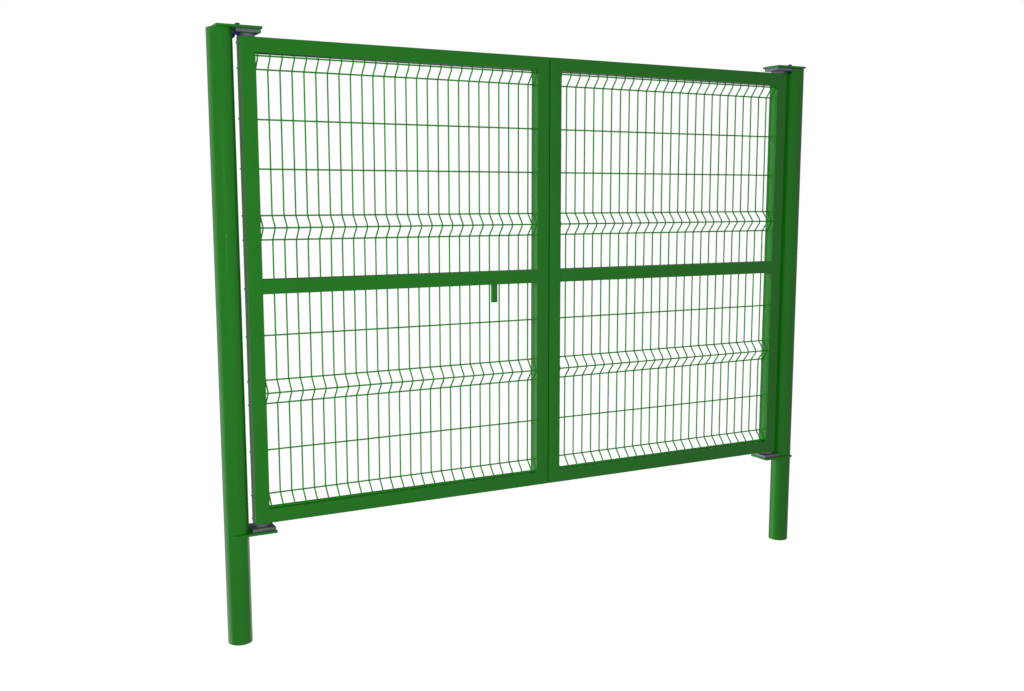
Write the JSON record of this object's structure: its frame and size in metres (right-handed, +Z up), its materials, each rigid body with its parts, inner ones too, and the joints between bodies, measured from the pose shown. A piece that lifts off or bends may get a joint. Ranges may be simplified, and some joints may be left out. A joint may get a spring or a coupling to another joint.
{
  "type": "double swing gate",
  "caption": "Double swing gate of two tube-framed leaves filled with folded wire mesh, hung on pivots between two round posts, with a sliding bolt.",
  "frame": {"origin": "centre of the left post's foot", "axes": "+X along the gate from the left post to the right one, +Y from the front of the gate to its back, where the mesh and the sliding bolt are, +Z up"},
  "size_m": [3.0892, 0.1464, 2.553],
  "materials": {
    "green_coat": "gloss green powder coat",
    "mesh_coat": "gloss green coating on galvanised wire",
    "bearing_steel": "machined grey steel",
    "blue_fastener": "blue passivated zinc"
  },
  "bodies": {
    "posts": {"left_post": "green_coat", "right_post": "green_coat", "left_top_plate": "green_coat", "left_bottom_plate": "green_coat", "right_top_plate": "green_coat", "right_bottom_plate": "green_coat", "left_top_block": "bearing_steel", "left_bottom_block": "bearing_steel", "right_top_block": "bearing_steel", "right_bottom_block": "bearing_steel", "left_front_bolt": "blue_fastener", "left_back_bolt": "blue_fastener", "right_front_bolt": "blue_fastener", "right_back_bolt": "blue_fastener", "left_front_nut": "blue_fastener", "left_back_nut": "blue_fastener", "right_front_nut": "blue_fastener", "right_back_nut": "blue_fastener"},
    "left_leaf": {"left_hinge_stile": "green_coat", "left_lock_stile": "green_coat", "left_top_rail": "green_coat", "left_mid_rail": "green_coat", "left_bottom_rail": "green_coat", "left_upper_mesh": "mesh_coat", "left_lower_mesh": "mesh_coat", "left_top_pivot": "bearing_steel", "left_bottom_pivot": "bearing_steel", "left_outer_guide": "green_coat", "left_inner_guide": "green_coat"},
    "right_leaf": {"right_hinge_stile": "green_coat", "right_lock_stile": "green_coat", "right_top_rail": "green_coat", "right_mid_rail": "green_coat", "right_bottom_rail": "green_coat", "right_upper_mesh": "mesh_coat", "right_lower_mesh": "mesh_coat", "right_top_pivot": "bearing_steel", "right_bottom_pivot": "bearing_steel", "right_keeper": "green_coat"},
    "bolt_bar": {"sliding_bolt": "green_coat"}
  },
  "joints": [
    {"name": "left_hinge", "type": "hinge", "parent": "posts", "child": "left_leaf", "pos_m": [0.1048, 0, 0.507], "axis": [0, 0, 1], "range_deg": [-90, 90]},
    {"name": "right_hinge", "type": "hinge", "parent": "posts", "child": "right_leaf", "pos_m": [2.8828, 0, 0.507], "axis": [0, 0, -1], "range_deg": [-90, 90]},
    {"name": "bolt_slide", "type": "slide", "parent": "left_leaf", "child": "bolt_bar", "axis": [1, 0, 0], "range_m": [0, 0.08]}
  ]
}
